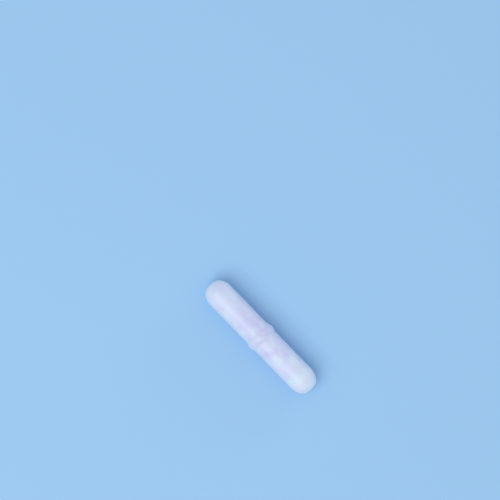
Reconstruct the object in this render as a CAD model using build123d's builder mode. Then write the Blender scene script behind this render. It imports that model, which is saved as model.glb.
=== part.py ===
from build123d import *
import os

# Magnetic stir bar: a rod magnet sealed in a white PTFE jacket, which is moulded in one piece
# with a pivot ring round its middle.
# The bar lies along X, its middle is the origin and +Z is up.

# Driving dimensions of the jacket, in millimetres
bar_length = 36.0  # tip to tip
bar_diameter = 7.0  # straight barrel, on both sides of the pivot ring
dome_length = 3.7  # from the end of the straight barrel to the tip
tip_land_diameter = 1.6  # small flat in the middle of each rounded end
ring_width = 2.6  # pivot ring, between the points where its crest would meet the barrel
ring_height = 0.4  # crest of the pivot ring above the barrel
ring_foot_radius = 0.8  # hollow blend that runs the ring out into the barrel
jacket_wall = 1.0  # plastic round the magnet
end_wall = 3.0  # plastic beyond each end of the magnet

# Driving dimensions of the magnet
magnet_clearance = 0.02  # left between the magnet and the jacket on every side
magnet_edge_chamfer = 0.3  # ground edge at each end of the rod

# Sizes worked out from the driving dimensions
half_length = bar_length / 2
bar_radius = bar_diameter / 2
barrel_end = half_length - dome_length
tip_land_radius = tip_land_diameter / 2
ring_radius = bar_radius + ring_height
ring_half_width = ring_width / 2
cavity_radius = bar_radius - jacket_wall
cavity_half_length = half_length - end_wall
magnet_radius = cavity_radius - magnet_clearance
magnet_half_length = cavity_half_length - magnet_clearance


# Rod magnet: a ground cylinder, magnetised along its length, with chamfered ends
with BuildPart() as magnet:
    with BuildSketch(Plane.YZ):
        Circle(magnet_radius)
    extrude(amount=magnet_half_length, both=True)
    magnet_rims = magnet.edges().filter_by(GeomType.CIRCLE)
    chamfer(magnet_rims, magnet_edge_chamfer)
magnet.part.label = "rod_magnet"


# Jacket: half of its long section, turned about the bar's axis, with the magnet's seat inside
with BuildPart() as jacket:
    with BuildSketch(Plane.XZ) as jacket_section:
        with BuildLine():
            # Right end: flat tip, rounded shoulder and straight barrel, then the same on the left
            Line((half_length, 0), (half_length, tip_land_radius))
            shoulder = EllipticalCenterArc(
                (barrel_end, tip_land_radius), dome_length, bar_radius - tip_land_radius
            )
            Line(shoulder @ 1, (ring_half_width, bar_radius))
            mirror(about=Plane.YZ)
            # Crest of the pivot ring, and the bar's axis to close the outline
            ThreePointArc(
                (-ring_half_width, bar_radius), (0, ring_radius), (ring_half_width, bar_radius)
            )
            Line((-half_length, 0), (half_length, 0))
        make_face()
        ring_feet = jacket_section.vertices().sort_by(lambda corner: abs(corner.X))[:2]
        fillet(ring_feet, ring_foot_radius)
    revolve(axis=Axis.X)

    with BuildSketch(Plane.YZ):
        Circle(cavity_radius)
    extrude(amount=cavity_half_length, both=True, mode=Mode.SUBTRACT)
    cavity_rims = jacket.edges(Select.LAST).filter_by(GeomType.CIRCLE)
    chamfer(cavity_rims, magnet_edge_chamfer)
jacket.part.label = "ptfe_jacket"


os.makedirs("parts", exist_ok=True)
export_step(magnet.part, "parts/rod_magnet.step")
export_step(jacket.part, "parts/ptfe_jacket.step")
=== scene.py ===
import math

import bpy
import numpy as np
from bpy.props import FloatProperty, FloatVectorProperty, PointerProperty
from bpy.types import Operator, Panel, PropertyGroup
from mathutils import Matrix, Vector


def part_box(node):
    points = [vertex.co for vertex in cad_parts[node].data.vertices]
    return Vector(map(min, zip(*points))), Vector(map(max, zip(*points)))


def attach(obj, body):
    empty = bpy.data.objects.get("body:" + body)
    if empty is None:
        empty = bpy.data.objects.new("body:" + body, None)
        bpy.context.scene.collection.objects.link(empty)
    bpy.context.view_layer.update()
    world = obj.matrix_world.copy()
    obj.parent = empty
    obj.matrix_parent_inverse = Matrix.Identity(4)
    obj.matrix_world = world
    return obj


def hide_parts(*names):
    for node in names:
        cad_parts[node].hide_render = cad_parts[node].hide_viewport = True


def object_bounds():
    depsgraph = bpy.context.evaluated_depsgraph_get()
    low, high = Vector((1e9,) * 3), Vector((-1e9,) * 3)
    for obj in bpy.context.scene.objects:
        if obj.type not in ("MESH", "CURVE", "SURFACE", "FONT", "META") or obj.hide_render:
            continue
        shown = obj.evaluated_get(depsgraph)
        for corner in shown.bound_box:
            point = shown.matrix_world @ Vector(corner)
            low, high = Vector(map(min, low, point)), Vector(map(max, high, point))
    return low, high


bl_info = {
    "name": "Stir bar dresser",
    "version": (1, 0, 0),
    "blender": (4, 5, 0),
    "location": "View3D > Sidebar > Stir bar",
    "description": "Dresses a packed stir bar: milky jacket, ground magnet, floor, lights and camera",
    "category": "Object",
}

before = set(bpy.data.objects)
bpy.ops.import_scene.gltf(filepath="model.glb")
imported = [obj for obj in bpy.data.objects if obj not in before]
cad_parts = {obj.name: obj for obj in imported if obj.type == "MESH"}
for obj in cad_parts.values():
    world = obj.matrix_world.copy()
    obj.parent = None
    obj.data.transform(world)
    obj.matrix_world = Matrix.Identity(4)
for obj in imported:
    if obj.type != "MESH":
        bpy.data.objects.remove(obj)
CAD_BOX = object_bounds()
JACKET_LOW, JACKET_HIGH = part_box("ptfe_jacket")
MAGNET_LOW, MAGNET_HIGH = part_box("rod_magnet")

MM = 0.001
BODY = "root"

# Steps of the jacket's grid, along each part of its outline and once round the bar
CREST_STEPS = 14
FOOT_STEPS = 8
BARREL_STEPS = 100
DOME_STEPS = 44
TIP_STEPS = 8
ROUND_STEPS = 200
SEAT_STEPS = 48
SEAT_ROUND_STEPS = 96

# Waves of the moulded skin: how many, how close they may come, and where they are half as high as long ones
WAVE_SEED = 11
WAVE_COUNT = 22
MOST_WAVES_A_METRE = 420
MOST_WAVES_ROUND = 8
HALF_HEIGHT_A_METRE = 180
HALF_HEIGHT_ROUND = 3.5

# Tint over the magnet, in millimetres: how far short of the seat's end it starts and how its edge wanders
CORE_FADE = 1.0
CORE_WANDER = 1.5
CORE_FULL_SHARE = 0.3  # of the seat's half length, where the tint is full

# Rubbed band of the ring, in millimetres under its crest: where the rubbing starts and where it is full
RUB_START = 0.18
RUB_FULL = 0.04
RUB_STRETCH = (3.0, 0.8, 0.8)  # squeezes the rub marks along the bar and draws them out round it

# Share of the worn colour in scratches and pinholes
SCRATCH_GREY = 0.4
PINHOLE_GREY = 0.35

# Random draws of a cell: the middle of its random colours, and the soft step between a scratch and none
DRAW_MIDDLE = (0.5, 0.5, 0.5)
DRAW_STEP = 0.1

# Roughness that scratches add and that rubbing takes away
SCRATCH_DRYNESS = 0.2
RUB_POLISH = 0.12

# Ends of the magnet, in millimetres from its end faces: where the oxide thins and where the metal is bare
BARE_START = 0.45
BARE_FULL = 0.2
GRIND_STRETCH = (24.0, 0.25, 0.25)  # squeezes the grinding lines along the rod and draws them out round it


def screen(red, green, blue):
    """A screen colour, from 0 to 255 a channel, as the linear light that shaders take.

    It undoes the sRGB curve, which is straight near black and a power above that.
    """
    shares = np.array((red, green, blue)) / 255.0
    dark = shares / 12.92
    bright = ((shares + 0.055) / 1.055) ** 2.4
    return tuple(float(value) for value in np.where(shares <= 0.04045, dark, bright))


def opaque(colour):
    """A colour with full cover, as colour sockets take it."""
    return (*colour, 1.0)


def length_setting(name, description, default):
    """A length in metres that shows its unit in the sidebar."""
    return FloatProperty(
        name=name, description=description, default=default, min=0.0, precision=5, unit="LENGTH"
    )


def colour_setting(name, description, default):
    """A colour with a swatch in the sidebar."""
    return FloatVectorProperty(
        name=name, description=description, default=default, min=0.0, max=1.0, size=3, subtype="COLOR"
    )


def angle_setting(name, description, degrees):
    """An angle that the sidebar shows in degrees."""
    return FloatProperty(name=name, description=description, default=math.radians(degrees), subtype="ANGLE")


def power_setting(name, description, default):
    """A lamp's power in watts."""
    return FloatProperty(name=name, description=description, default=default, min=0.0, unit="POWER")


def share_setting(name, description, default):
    """A share of a size, which may go either way."""
    return FloatProperty(
        name=name, description=description, default=default, min=-1.0, max=1.0, precision=4, subtype="FACTOR"
    )


class JacketSettings(PropertyGroup):
    """Sizes and colours of the moulded jacket."""

    length: length_setting("Length", "Jacket from tip to tip", JACKET_HIGH.x - JACKET_LOW.x)
    ring_diameter: length_setting("Over ring", "Diameter over the pivot ring", JACKET_HIGH.z - JACKET_LOW.z)
    barrel_diameter: length_setting("Barrel", "Diameter of the straight barrel", 7.0 * MM)
    dome_length: length_setting("Dome", "From the end of the barrel to the tip", 3.7 * MM)
    tip_land: length_setting("Tip land", "Diameter of the flat at each tip", 1.6 * MM)
    ring_width: length_setting("Ring width", "Ring where its crest would meet the barrel", 2.6 * MM)
    ring_foot: length_setting("Ring foot", "Radius of the hollow that runs the ring out", 0.8 * MM)
    seat_diameter: length_setting("Seat", "Diameter of the hollow that holds the magnet", 5.0 * MM)
    seat_length: length_setting("Seat length", "Length of the hollow that holds the magnet", 30.0 * MM)
    seat_chamfer: length_setting("Seat chamfer", "Bevel at both ends of the hollow", 0.3 * MM)
    waviness: length_setting("Waviness", "Depth of the soft unevenness left by moulding", 0.045 * MM)
    milk: colour_setting("Milk", "Body colour of the plastic", screen(216, 231, 252))
    shade: colour_setting("Shade", "Lavender clouds in the plastic", screen(203, 209, 244))
    light: colour_setting("Light", "Pale clouds in the plastic", screen(217, 240, 254))
    blush: colour_setting("Blush", "Faintly rosy clouds in the plastic", screen(217, 213, 238))
    core: colour_setting("Core", "Tint where the magnet shows through", screen(205, 207, 241))
    worn: colour_setting("Worn", "Rubbed crest, scratches and pinholes", screen(198, 206, 234))
    sheen: colour_setting("Sheen", "Soft gleam towards the bar's edges", screen(214, 244, 255))


class MagnetSettings(PropertyGroup):
    """Colours of the ground magnet."""

    metal: colour_setting("Metal", "Freshly ground face", screen(172, 172, 176))
    dull: colour_setting("Dull", "Cloudy oxide on the metal", screen(112, 110, 112))


class StageSettings(PropertyGroup):
    """Floor, light and camera."""

    floor: colour_setting("Floor", "Colour of the floor and of what lies behind it", screen(158, 203, 240))
    floor_size: length_setting("Floor size", "Side of the square floor", 4.0)
    fade_start: length_setting("Fade start", "Where the floor starts to turn into the background", 0.15)
    fade_end: length_setting("Fade end", "Where the floor has turned into the background", 0.5)
    key_distance: length_setting("Key distance", "From the bar to the middle of the large soft lamp", 0.9)
    key_size: length_setting("Key size", "Side of the large soft lamp", 0.68)
    key_power: power_setting("Key power", "Power of the large soft lamp", 4.1)
    key_colour: colour_setting("Key colour", "Colour of the large soft lamp", (1.0, 0.98, 0.94))
    key_lean: angle_setting("Key lean", "Angle of the large soft lamp from overhead", 29)
    edge_distance: length_setting("Edge distance", "From the bar to the middle of the low cool lamp", 0.7)
    edge_size: length_setting("Edge size", "Side of the low cool lamp", 0.45)
    edge_power: power_setting("Edge power", "Power of the low cool lamp", 1.1)
    edge_colour: colour_setting("Edge colour", "Colour of the low cool lamp", (0.97, 0.94, 1.0))
    edge_lean: angle_setting("Edge lean", "Angle of the low cool lamp from overhead", -84)
    sky: FloatProperty(
        name="Sky", description="Strength of the even light from all round", default=0.6, min=0.0
    )
    sky_colour: colour_setting("Sky colour", "Colour of the even light from all round", (0.96, 0.935, 1.0))
    lens: FloatProperty(name="Lens", description="Focal length", default=180.0, min=1.0, unit="CAMERA")
    picture_width: length_setting("Picture width", "What the picture spans at the bar's axis", 124.27 * MM)
    picture_turn: angle_setting("Picture turn", "How steeply the bar runs down to the picture's right", 45.84)
    right_share: share_setting("Right", "Bar's middle right of the picture's, by the picture's width", 0.0216)
    down_share: share_setting("Down", "Bar's middle below the picture's, by the picture's width", 0.1738)


class StirBarSettings(PropertyGroup):
    """All settings of the dressed stir bar."""

    jacket: PointerProperty(type=JacketSettings)
    magnet: PointerProperty(type=MagnetSettings)
    stage: PointerProperty(type=StageSettings)


def jacket_outline(sizes):
    """Long section of the jacket: rows of place along the bar and radius, from the left tip to the right.

    The ring's crest is an arc through the ring's two edges on the barrel and its top. A hollow arc runs it
    out: it touches the barrel's line and the crest, so its centre lies a foot radius above that line and
    the sum of both radii away from the crest's centre. The barrel is straight, the dome is a quarter of an
    ellipse that ends on the tip's flat land, and the left half mirrors the right.
    """
    tip = sizes.length / 2
    barrel = sizes.barrel_diameter / 2
    land = sizes.tip_land / 2
    barrel_end = tip - sizes.dome_length
    rise = sizes.ring_diameter / 2 - barrel
    crest = ((sizes.ring_width / 2) ** 2 + rise**2) / (2 * rise)
    crest_centre = sizes.ring_diameter / 2 - crest
    foot = sizes.ring_foot
    lift = barrel + foot - crest_centre
    foot_centre = math.sqrt((crest + foot) ** 2 - lift**2)
    swing = math.atan2(foot_centre, lift)

    turn = np.linspace(0, swing, CREST_STEPS, endpoint=False)
    crest_part = np.stack((crest * np.sin(turn), crest_centre + crest * np.cos(turn)), axis=1)
    turn = np.linspace(swing, 0, FOOT_STEPS, endpoint=False)
    foot_part = np.stack((foot_centre - foot * np.sin(turn), barrel + foot - foot * np.cos(turn)), axis=1)
    along = np.linspace(foot_centre, barrel_end, BARREL_STEPS, endpoint=False)
    barrel_part = np.stack((along, np.full_like(along, barrel)), axis=1)
    turn = np.linspace(0, math.pi / 2, DOME_STEPS, endpoint=False)
    dome_part = np.stack(
        (barrel_end + sizes.dome_length * np.sin(turn), land + (barrel - land) * np.cos(turn)), axis=1
    )
    inward = np.linspace(land, 0, TIP_STEPS)
    tip_part = np.stack((np.full_like(inward, tip), inward), axis=1)
    right = np.concatenate((crest_part, foot_part, barrel_part, dome_part, tip_part))
    left = right[:0:-1] * (-1, 1)
    return np.concatenate((left, right))


def seat_outline(sizes):
    """Long section of the hollow round the magnet: a straight bore with a bevel and a flat at both ends."""
    end = sizes.seat_length / 2
    bore = sizes.seat_diameter / 2
    bevel = sizes.seat_chamfer
    straight = np.linspace(bevel - end, end - bevel, SEAT_STEPS)
    bore_part = np.stack((straight, np.full_like(straight, bore)), axis=1)
    left = [(-end, 0), (-end, bore - bevel)]
    right = [(end, bore - bevel), (end, 0)]
    return np.concatenate((left, bore_part, right))


def moulded_unevenness(along, angle, depth):
    """How far the skin lies under its true form, from 0 to depth: a sum of waves along and round the bar.

    Each wave is the cosine of its own number of turns along the bar and round it, with its own phase. Short
    waves are lower. Waves go round a whole number of times, so the skin closes on itself.
    """
    draw = np.random.default_rng(WAVE_SEED)
    per_metre = draw.uniform(-MOST_WAVES_A_METRE, MOST_WAVES_A_METRE, WAVE_COUNT)[:, None, None]
    round_count = draw.integers(0, MOST_WAVES_ROUND + 1, WAVE_COUNT)[:, None, None]
    phase = draw.uniform(0, 2 * math.pi, WAVE_COUNT)[:, None, None]
    height = 1 / (1 + np.hypot(per_metre / HALF_HEIGHT_A_METRE, round_count / HALF_HEIGHT_ROUND))
    field = (height * np.cos(2 * math.pi * per_metre * along + round_count * angle + phase)).sum(axis=0)
    field = field / np.abs(field).max()
    return depth * (1 + field) / 2


def turned_mesh(outline, steps, inset=None, hollow=False):
    """Points and faces of an outline turned about X: a point is (along, radius cos angle, radius sin angle).

    The first and last rows of the outline lie on the axis and become one point each, closed by a fan. The
    inset is taken off the largest radius in full, and off a smaller one by its share of that radius. The
    faces of a hollow look towards the axis.
    """
    angle = np.linspace(0, 2 * math.pi, steps, endpoint=False)[None, :]
    along, radius = outline[1:-1, :1], outline[1:-1, 1:]
    if inset is not None:
        radius = radius - inset(along, angle) * radius / outline[:, 1].max()
    rows = len(along)
    grid = np.stack(
        (np.broadcast_to(along, (rows, steps)), radius * np.cos(angle), radius * np.sin(angle)), axis=2
    ).reshape(-1, 3)
    poles = [(outline[0, 0], 0, 0), (outline[-1, 0], 0, 0)]
    points = np.concatenate((grid, poles))

    column = np.arange(steps)
    following = (column + 1) % steps
    row = np.arange(rows - 1)[:, None] * steps
    quads = np.stack(
        (row + column, row + following, row + steps + following, row + steps + column), axis=2
    ).reshape(-1, 4)
    last = (rows - 1) * steps
    left_pole = np.full(steps, rows * steps)
    first_fan = np.stack((left_pole, following, column), axis=1)
    last_fan = np.stack((left_pole + 1, last + column, last + following), axis=1)
    faces = [quads, first_fan, last_fan]
    if hollow:
        faces = [part[:, ::-1] for part in faces]
    return points, faces


def shell_object(name, shells):
    """One object at the origin from several closed shells of points and faces, shaded smooth."""
    start = 0
    points, faces = [], []
    for shell_points, shell_faces in shells:
        points.append(shell_points)
        faces.extend(row for part in shell_faces for row in (part + start).tolist())
        start += len(shell_points)
    mesh = bpy.data.meshes.new(name)
    mesh.from_pydata(np.concatenate(points).tolist(), [], faces)
    mesh.shade_smooth()
    mesh.validate()
    made = bpy.data.objects.new(name, mesh)
    bpy.context.scene.collection.objects.link(made)
    return made


def put(tree, kind, inputs=None, **settings):
    """Adds a node. Inputs that are sockets are joined, other inputs are set."""
    made = tree.nodes.new(kind)
    for name, value in settings.items():
        setattr(made, name, value)
    for name, value in (inputs or {}).items():
        if isinstance(value, bpy.types.NodeSocket):
            tree.links.new(value, made.inputs[name])
        else:
            made.inputs[name].default_value = value
    return made


def new_material(name, finish):
    """A node material whose Principled shader has this finish all over and is joined to the output."""
    material = bpy.data.materials.new(name)
    material.use_nodes = True
    tree = material.node_tree
    tree.nodes.clear()
    shader = put(tree, "ShaderNodeBsdfPrincipled", finish)
    put(tree, "ShaderNodeOutputMaterial", {"Surface": shader.outputs["BSDF"]})
    return material, tree, shader


def arithmetic(tree, operation, first, second=0.0):
    """One step of arithmetic on a value, or on two."""
    return put(tree, "ShaderNodeMath", {0: first, 1: second}, operation=operation).outputs["Value"]


def vector_step(tree, operation, *parts, result="Vector"):
    """One step of arithmetic on vectors, which gives a vector or, with result Value, a number."""
    return put(tree, "ShaderNodeVectorMath", dict(enumerate(parts)), operation=operation).outputs[result]


def millimetres(tree, scale=(1.0, 1.0, 1.0)):
    """The object's own coordinates in millimetres, scaled for a pattern."""
    place = put(tree, "ShaderNodeTexCoord")
    mapped = put(
        tree,
        "ShaderNodeMapping",
        {"Vector": place.outputs["Object"], "Scale": tuple(value / MM for value in scale)},
    )
    return mapped.outputs["Vector"]


def along_bar(tree, place):
    """Distance from the middle of the bar, along its axis."""
    apart = put(tree, "ShaderNodeSeparateXYZ", {"Vector": place})
    return arithmetic(tree, "ABSOLUTE", apart.outputs["X"])


def from_axis(tree, place):
    """Distance from the bar's axis."""
    apart = put(tree, "ShaderNodeSeparateXYZ", {"Vector": place})
    across = put(tree, "ShaderNodeCombineXYZ", {"Y": apart.outputs["Y"], "Z": apart.outputs["Z"]})
    return vector_step(tree, "LENGTH", across.outputs["Vector"], result="Value")


def clouds(tree, place, size, seed, detail=3.0, roughness=0.5, distortion=0.0):
    """Soft noise with clouds of about this size in millimetres, from 0 to 1."""
    made = put(
        tree,
        "ShaderNodeTexNoise",
        {
            "Vector": place,
            "W": seed,
            "Scale": 1 / size,
            "Detail": detail,
            "Roughness": roughness,
            "Distortion": distortion,
        },
        noise_dimensions="4D",
    )
    return made.outputs["Fac"]


def cells(tree, place, per_mm):
    """Cells scattered at random, this many to a millimetre, each with a colour of its own."""
    return put(tree, "ShaderNodeTexVoronoi", {"Vector": place, "Scale": per_mm, "Randomness": 1.0})


def ramp(tree, value, low, high, to_low=0.0, to_high=1.0):
    """Eases a value from one range to another and holds it at both ends."""
    made = put(
        tree,
        "ShaderNodeMapRange",
        {"Value": value, "From Min": low, "From Max": high, "To Min": to_low, "To Max": to_high},
        interpolation_type="SMOOTHSTEP",
    )
    return made.outputs["Result"]


def warped(tree, place, size, amount):
    """Coordinates pushed about by soft noise of this size, by about half the amount, in millimetres."""
    noise = put(tree, "ShaderNodeTexNoise", {"Vector": place, "Scale": 1 / size, "Detail": 1.0})
    return vector_step(tree, "MULTIPLY_ADD", noise.outputs["Color"], (amount, amount, amount), place)


def hairlines(tree, place, cell, width, chance):
    """Fine scratches, from 0 to 1, about one in each cell of this size in millimetres.

    Each cell has a plane through its middle, turned at random. A scratch is where that plane cuts the
    surface. It is one width wide at most and thins to nothing towards the edge of its cell, and only this
    share of the cells has one.
    """
    scattered = cells(tree, place, per_mm=1 / cell)
    offset = vector_step(tree, "SUBTRACT", place, scattered.outputs["Position"])
    reach = vector_step(tree, "LENGTH", offset, result="Value")
    draw = put(
        tree, "ShaderNodeTexWhiteNoise", {"Vector": scattered.outputs["Color"]}, noise_dimensions="3D"
    )
    facing = vector_step(tree, "SUBTRACT", draw.outputs["Color"], DRAW_MIDDLE)
    facing = vector_step(tree, "NORMALIZE", facing)
    across = vector_step(tree, "DOT_PRODUCT", offset, facing, result="Value")
    across = arithmetic(tree, "ABSOLUTE", across)
    thinned = arithmetic(tree, "ADD", across, arithmetic(tree, "MULTIPLY", reach, width / cell))
    line = ramp(tree, thinned, low=width / 2, high=width / 5)
    drawn = ramp(tree, draw.outputs["Value"], low=chance, high=chance - DRAW_STEP)
    return arithmetic(tree, "MULTIPLY", line, drawn)


def tint(tree, share, first, second):
    """Mixes two colours by a share. The node's sockets go by number, because some of them share a name."""
    made = put(tree, "ShaderNodeMix", {0: share, 6: first, 7: second}, data_type="RGBA")
    return made.outputs[2]


def relief(tree, height, depth, normal=None, strength=1.0):
    """Bump of this depth in metres, laid over an earlier one."""
    inputs = {"Height": height, "Distance": depth, "Strength": strength}
    if normal is not None:
        inputs["Normal"] = normal
    return put(tree, "ShaderNodeBump", inputs).outputs["Normal"]


def milk_over_magnet(tree, place, settings):
    """Body colour. The dark magnet shows through the wall, most of all away from the bright solid ends."""
    edge = clouds(tree, place, size=3.0, seed=5.5, detail=2.0)
    wander = ramp(tree, edge, low=0.2, high=0.8, to_low=-CORE_WANDER, to_high=CORE_WANDER)
    reach = arithmetic(tree, "ADD", along_bar(tree, place), wander)
    seat_end = settings.seat_length / 2 / MM
    over_magnet = ramp(
        tree, reach, low=seat_end - CORE_FADE, high=seat_end * CORE_FULL_SHARE, to_high=0.9
    )
    return tint(tree, over_magnet, opaque(settings.milk), opaque(settings.core))


def clouded(tree, place, colour, small, settings):
    """Clouds in the body of the plastic, large ones first, and grains of the sintered powder."""
    broad = clouds(tree, place, size=5.0, seed=3905.5, detail=1.0, roughness=0.4, distortion=0.3)
    rosy = clouds(tree, place, size=4.0, seed=140.5, detail=1.0, roughness=0.4, distortion=0.3)
    shaded = ramp(tree, broad, low=0.3, high=0.72, to_high=0.6)
    colour = tint(tree, shaded, colour, opaque(settings.shade))
    blushing = ramp(tree, rosy, low=0.35, high=0.75, to_high=0.52)
    colour = tint(tree, blushing, colour, opaque(settings.blush))
    lit = ramp(tree, small, low=0.35, high=0.75, to_high=0.55)
    colour = tint(tree, lit, colour, opaque(settings.light))

    grain = cells(tree, place, per_mm=2.6)
    grain_draw = put(tree, "ShaderNodeSeparateColor", {"Color": grain.outputs["Color"]}).outputs["Red"]
    grain_tone = ramp(tree, grain_draw, low=0.0, high=1.0, to_high=0.1)
    return tint(tree, grain_tone, colour, opaque(settings.light))


def rubbed_crest(tree, place, settings):
    """Where the vessel's floor has rubbed the crest of the ring, in streaks round the bar."""
    streaks = clouds(
        tree, millimetres(tree, RUB_STRETCH), size=1.0, seed=2.2, detail=4.0, roughness=0.6
    )
    ring_top = settings.ring_diameter / 2 / MM
    crest = ramp(tree, from_axis(tree, place), low=ring_top - RUB_START, high=ring_top - RUB_FULL)
    rub = ramp(tree, streaks, low=0.35, high=0.7, to_low=0.05, to_high=0.45)
    return arithmetic(tree, "MULTIPLY", crest, rub)


def scratches(tree, place):
    """Hairline scratches from handling, slightly bent: long and faint ones, and short ones."""
    bent = warped(tree, place, size=1.5, amount=0.35)
    long_ones = hairlines(tree, bent, cell=4.5, width=0.08, chance=0.6)
    short_ones = hairlines(tree, bent, cell=2.2, width=0.06, chance=0.5)
    return arithmetic(tree, "MAXIMUM", long_ones, short_ones)


def pinholes(tree, place):
    """Pinholes left by the powder, in the middle of one cell in six. Distances here are in cells."""
    scattered = cells(tree, place, per_mm=0.9)
    draw = put(tree, "ShaderNodeSeparateColor", {"Color": scattered.outputs["Color"]}).outputs["Green"]
    hole = ramp(tree, scattered.outputs["Distance"], low=0.11, high=0.04)
    drawn = ramp(tree, draw, low=0.82, high=0.84)
    return arithmetic(tree, "MULTIPLY", hole, drawn)


def milky_plastic(settings):
    """Waxy white plastic: the magnet's tint, clouds, grain, a rubbed crest, scratches and pinholes."""
    material, tree, shader = new_material(
        "milky_plastic",
        {
            "IOR": 1.38,
            "Subsurface Weight": 0.6,
            "Subsurface Scale": 0.45 * MM,
            "Subsurface Radius": (1.0, 1.0, 1.0),
            "Coat Weight": 0.4,
            "Coat Roughness": 0.25,
            "Coat IOR": 1.4,
            "Sheen Weight": 1.0,
            "Sheen Roughness": 0.5,
            "Sheen Tint": opaque(settings.sheen),
        },
    )
    place = millimetres(tree)
    small = clouds(tree, place, size=2.4, seed=27490.5, detail=1.5, roughness=0.45, distortion=0.3)
    rubbed = rubbed_crest(tree, place, settings)
    scratch = scratches(tree, place)
    pinhole = pinholes(tree, place)

    colour = clouded(tree, place, milk_over_magnet(tree, place, settings), small, settings)
    colour = tint(tree, rubbed, colour, opaque(settings.worn))
    for mark, grey in ((scratch, SCRATCH_GREY), (pinhole, PINHOLE_GREY)):
        colour = tint(tree, arithmetic(tree, "MULTIPLY", mark, grey), colour, opaque(settings.worn))
    tree.links.new(colour, shader.inputs["Base Color"])

    # Waxy gloss, drier in the clouds and scratches and polished on the crest
    gloss = ramp(tree, small, low=0.3, high=0.75, to_low=0.3, to_high=0.42)
    gloss = arithmetic(tree, "ADD", gloss, arithmetic(tree, "MULTIPLY", scratch, SCRATCH_DRYNESS))
    gloss = arithmetic(tree, "SUBTRACT", gloss, arithmetic(tree, "MULTIPLY", rubbed, RUB_POLISH))
    tree.links.new(gloss, shader.inputs["Roughness"])

    # Relief: uneven skin, its fine peel, and scratches and pinholes cut into it
    swell = clouds(tree, place, size=0.9, seed=4.4, detail=2.0)
    peel = clouds(tree, place, size=0.3, seed=7.7, detail=2.0, roughness=0.6)
    normal = relief(tree, swell, depth=0.12 * MM, strength=0.6)
    normal = relief(tree, peel, depth=0.08 * MM, normal=normal, strength=0.6)
    normal = relief(tree, scratch, depth=-0.03 * MM, normal=normal, strength=0.8)
    normal = relief(tree, pinhole, depth=-0.03 * MM, normal=normal, strength=0.8)
    tree.links.new(normal, shader.inputs["Normal"])
    return material


def ground_metal(settings):
    """Ground grey metal: fine lines round the rod, cloudy oxide and brighter worn ends."""
    material, tree, shader = new_material("ground_metal", {"Metallic": 1.0})
    place = millimetres(tree)
    lines = clouds(
        tree, millimetres(tree, GRIND_STRETCH), size=1.0, seed=1.3, detail=3.0, roughness=0.65
    )
    oxide = clouds(tree, place, size=2.2, seed=4.8, detail=4.0, roughness=0.6, distortion=0.6)

    half = (MAGNET_HIGH.x - MAGNET_LOW.x) / 2 / MM
    bare = ramp(
        tree, along_bar(tree, place), low=half - BARE_START, high=half - BARE_FULL, to_high=0.35
    )
    cover = ramp(tree, oxide, low=0.4, high=0.68, to_low=0.1, to_high=0.8)
    cover = arithmetic(tree, "SUBTRACT", cover, bare)
    streaks = ramp(tree, lines, low=0.35, high=0.7, to_low=-0.12, to_high=0.12)
    cover = arithmetic(tree, "ADD", cover, streaks)
    colour = tint(tree, cover, opaque(settings.metal), opaque(settings.dull))
    tree.links.new(colour, shader.inputs["Base Color"])

    gloss = ramp(tree, oxide, low=0.35, high=0.7, to_low=0.26, to_high=0.46)
    streaks = ramp(tree, lines, low=0.3, high=0.7, to_low=-0.05, to_high=0.05)
    tree.links.new(arithmetic(tree, "ADD", gloss, streaks), shader.inputs["Roughness"])
    normal = relief(tree, lines, depth=0.004 * MM, strength=0.7)
    normal = relief(tree, oxide, depth=0.006 * MM, normal=normal, strength=0.4)
    tree.links.new(normal, shader.inputs["Normal"])
    return material


def seen_rays(tree):
    """Light path's rays, and 1 for what the camera sees, directly, in a reflection or through glass."""
    rays = put(tree, "ShaderNodeLightPath")
    seen = arithmetic(tree, "MAXIMUM", rays.outputs["Is Camera Ray"], rays.outputs["Is Glossy Ray"])
    return rays, arithmetic(tree, "MAXIMUM", seen, rays.outputs["Is Transmission Ray"])


def pale_floor(settings):
    """Plain matt floor.

    Far from the bar it turns into the even background, and a camera under it looks through it.
    """
    material, tree, shader = new_material(
        "pale_floor",
        {"Base Color": opaque(settings.floor), "Roughness": 0.9, "Specular IOR Level": 0.1},
    )
    rays, seen = seen_rays(tree)
    from_bar = vector_step(tree, "LENGTH", millimetres(tree), result="Value")
    far = ramp(tree, from_bar, low=settings.fade_start / MM, high=settings.fade_end / MM)
    far_seen = arithmetic(tree, "MULTIPLY", far, seen)
    even = put(tree, "ShaderNodeEmission", {"Color": opaque(settings.floor), "Strength": 1.0})
    ground = put(
        tree,
        "ShaderNodeMixShader",
        {0: far_seen, 1: shader.outputs["BSDF"], 2: even.outputs["Emission"]},
    )
    side = put(tree, "ShaderNodeNewGeometry")
    under = arithmetic(tree, "MULTIPLY", rays.outputs["Is Camera Ray"], side.outputs["Backfacing"])
    clear = put(tree, "ShaderNodeBsdfTransparent")
    both = put(
        tree, "ShaderNodeMixShader", {0: under, 1: ground.outputs["Shader"], 2: clear.outputs["BSDF"]}
    )
    tree.links.new(both.outputs["Shader"], tree.get_output_node("ALL").inputs["Surface"])
    return material


def even_sky(settings):
    """Even light from all round, with the floor's colour for what the camera and reflections see."""
    world = bpy.data.worlds.new("even_sky")
    world.use_nodes = True
    tree = world.node_tree
    tree.nodes.clear()
    seen = seen_rays(tree)[1]
    light = put(
        tree, "ShaderNodeBackground", {"Color": opaque(settings.sky_colour), "Strength": settings.sky}
    )
    behind = put(tree, "ShaderNodeBackground", {"Color": opaque(settings.floor), "Strength": 1.0})
    both = put(
        tree,
        "ShaderNodeMixShader",
        {0: seen, 1: light.outputs["Background"], 2: behind.outputs["Background"]},
    )
    put(tree, "ShaderNodeOutputWorld", {"Surface": both.outputs["Shader"]})
    return world


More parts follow.
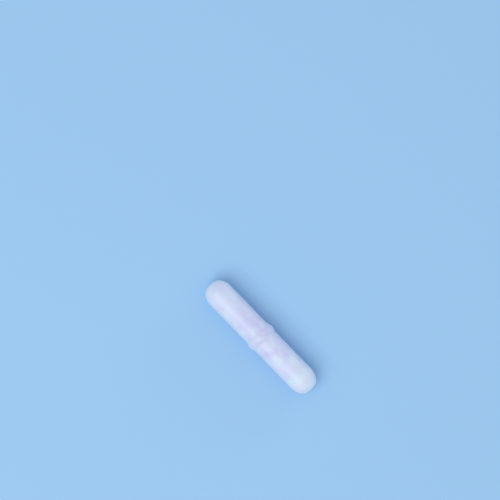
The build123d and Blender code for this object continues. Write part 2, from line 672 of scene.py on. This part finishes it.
class STIRBAR_OT_jacket(Operator):
    """Moulds the milky skin over the CAD jacket, with the hollow round the magnet"""

    bl_idname = "stirbar.jacket"
    bl_label = "Jacket"

    def execute(self, context):
        settings = context.scene.stir_bar.jacket

        def inset(along, angle):
            return moulded_unevenness(along, angle, settings.waviness)

        skin = turned_mesh(jacket_outline(settings), ROUND_STEPS, inset)
        seat = turned_mesh(seat_outline(settings), SEAT_ROUND_STEPS, hollow=True)
        jacket = shell_object("jacket_skin", [skin, seat])
        jacket.data.materials.append(milky_plastic(settings))
        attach(jacket, BODY)
        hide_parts("ptfe_jacket")
        return {"FINISHED"}


class STIRBAR_OT_magnet(Operator):
    """Gives the CAD magnet its ground finish"""

    bl_idname = "stirbar.magnet"
    bl_label = "Magnet"

    def execute(self, context):
        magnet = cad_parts["rod_magnet"]
        magnet.data.materials.clear()
        magnet.data.materials.append(ground_metal(context.scene.stir_bar.magnet))
        return {"FINISHED"}


class STIRBAR_OT_stage(Operator):
    """Lays the floor under the ring, hangs the lamps and sets the camera over the bar"""

    bl_idname = "stirbar.stage"
    bl_label = "Stage"

    def execute(self, context):
        settings = context.scene.stir_bar.stage
        self.lay_floor(context, settings)
        self.hang_lamp(
            context,
            "key",
            lean=settings.key_lean,
            distance=settings.key_distance,
            size=settings.key_size,
            power=settings.key_power,
            colour=settings.key_colour,
        )
        self.hang_lamp(
            context,
            "edge",
            lean=settings.edge_lean,
            distance=settings.edge_distance,
            size=settings.edge_size,
            power=settings.edge_power,
            colour=settings.edge_colour,
        )
        self.set_camera(context, settings)
        context.scene.world = even_sky(settings)
        context.scene.view_settings.view_transform = "Standard"
        return {"FINISHED"}

    def lay_floor(self, context, settings):
        """A square at the height of the ring's lowest point."""
        reach = settings.floor_size / 2
        corners = np.array(((-1, -1, 0), (1, -1, 0), (1, 1, 0), (-1, 1, 0))) * reach
        corners[:, 2] = CAD_BOX[0].z
        mesh = bpy.data.meshes.new("floor")
        mesh.from_pydata(corners.tolist(), [], [(0, 1, 2, 3)])
        mesh.materials.append(pale_floor(settings))
        floor = bpy.data.objects.new("floor", mesh)
        context.scene.collection.objects.link(floor)

    def hang_lamp(self, context, name, lean, distance, size, power, colour):
        """A square lamp that faces the bar.

        It leans from overhead towards the lower left of the picture. A lean below zero goes the other way.
        """
        lamp = bpy.data.lights.new(name, "AREA")
        lamp.shape = "SQUARE"
        lamp.size = size
        lamp.energy = power
        lamp.color = colour
        towards = Vector((0.0, -math.sin(lean), math.cos(lean)))
        hung = bpy.data.objects.new(name, lamp)
        hung.location = towards * distance
        hung.rotation_euler = towards.to_track_quat("Z", "Y").to_euler()
        context.scene.collection.objects.link(hung)

    def set_camera(self, context, settings):
        """Looks straight down, with the picture's right and up turned from X and Y by the picture's turn."""
        turn = settings.picture_turn
        right = Vector((math.cos(turn), math.sin(turn), 0.0))
        up = Vector((-math.sin(turn), math.cos(turn), 0.0))
        back = Vector((0.0, 0.0, 1.0))
        lens = bpy.data.cameras.new("camera")
        lens.lens = settings.lens
        place = settings.picture_width * (settings.down_share * up - settings.right_share * right)
        place.z = settings.picture_width * settings.lens / lens.sensor_width
        camera = bpy.data.objects.new("camera", lens)
        aim = Matrix((right, up, back)).transposed().to_4x4()
        camera.matrix_world = Matrix.Translation(place) @ aim
        context.scene.collection.objects.link(camera)
        context.scene.camera = camera


class STIRBAR_PT_sidebar(Panel):
    """Buttons and settings of the stir bar"""

    bl_idname = "STIRBAR_PT_sidebar"
    bl_label = "Stir bar"
    bl_space_type = "VIEW_3D"
    bl_region_type = "UI"
    bl_category = "Stir bar"

    def draw(self, context):
        settings = context.scene.stir_bar
        for operator, group in (
            (STIRBAR_OT_jacket, settings.jacket),
            (STIRBAR_OT_magnet, settings.magnet),
            (STIRBAR_OT_stage, settings.stage),
        ):
            box = self.layout.box()
            box.operator(operator.bl_idname)
            for name in group.__annotations__:
                box.prop(group, name)


CLASSES = (
    JacketSettings,
    MagnetSettings,
    StageSettings,
    StirBarSettings,
    STIRBAR_OT_jacket,
    STIRBAR_OT_magnet,
    STIRBAR_OT_stage,
    STIRBAR_PT_sidebar,
)


def register():
    """Adds the classes and the scene's settings."""
    for kind in CLASSES:
        bpy.utils.register_class(kind)
    bpy.types.Scene.stir_bar = PointerProperty(type=StirBarSettings)


def unregister():
    """Takes the settings and the classes out again."""
    del bpy.types.Scene.stir_bar
    for kind in reversed(CLASSES):
        bpy.utils.unregister_class(kind)


def main():
    register()
    bpy.ops.stirbar.jacket()
    bpy.ops.stirbar.magnet()
    bpy.ops.stirbar.stage()


if __name__ == "__main__":
    main()
